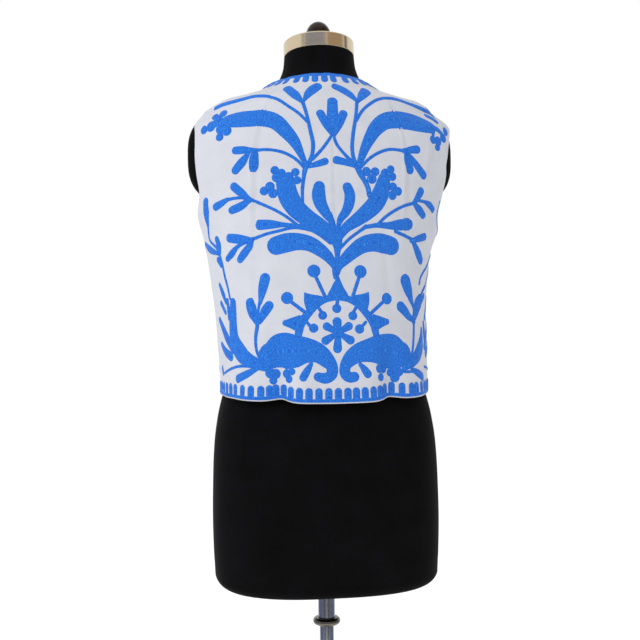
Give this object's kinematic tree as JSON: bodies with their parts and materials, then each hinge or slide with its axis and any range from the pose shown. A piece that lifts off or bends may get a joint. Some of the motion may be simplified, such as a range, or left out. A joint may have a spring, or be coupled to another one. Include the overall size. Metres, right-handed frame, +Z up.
{
  "type": "suzani vest on limbless dress form",
  "caption": "Sleeveless open-front embroidered cotton vest worn by a limbless dress form on a telescoping round-based stand.",
  "frame": {"origin": "middle of the base plate's underside, on the pole's axis, at floor level", "axes": "+Z up along the pole, -Y the way the wearer faces, +X the wearer's left"},
  "size_m": [0.389, 0.34, 1.4821],
  "materials": {
    "cotton_cloth": "plain woven white cotton with blue chain-stitch embroidery",
    "jersey_cover": "matte black jersey",
    "brass_cap": "polished, pale champagne tint",
    "knob_lacquer": "dark brown gloss",
    "chrome_tube": "polished chrome",
    "base_enamel": "satin black"
  },
  "bodies": {
    "stand": {"base_plate": "base_enamel", "base_hub": "chrome_tube", "stand_pole": "chrome_tube"},
    "collar": {"height_collar": "chrome_tube"},
    "form": {"pole_sleeve": "chrome_tube", "form_torso": "jersey_cover", "neck_cap": "brass_cap", "cap_finial": "knob_lacquer", "vest_back": "cotton_cloth", "vest_front_left": "cotton_cloth", "vest_front_right": "cotton_cloth"}
  },
  "joints": [
    {"name": "height", "type": "slide", "parent": "stand", "child": "collar", "axis": [0, 0, 1], "range_m": [-0.2, 0.12]},
    {"name": "swivel", "type": "hinge", "parent": "collar", "child": "form", "pos_m": [0, 0, 0.604], "axis": [0, 0, 1], "continuous": true}
  ]
}
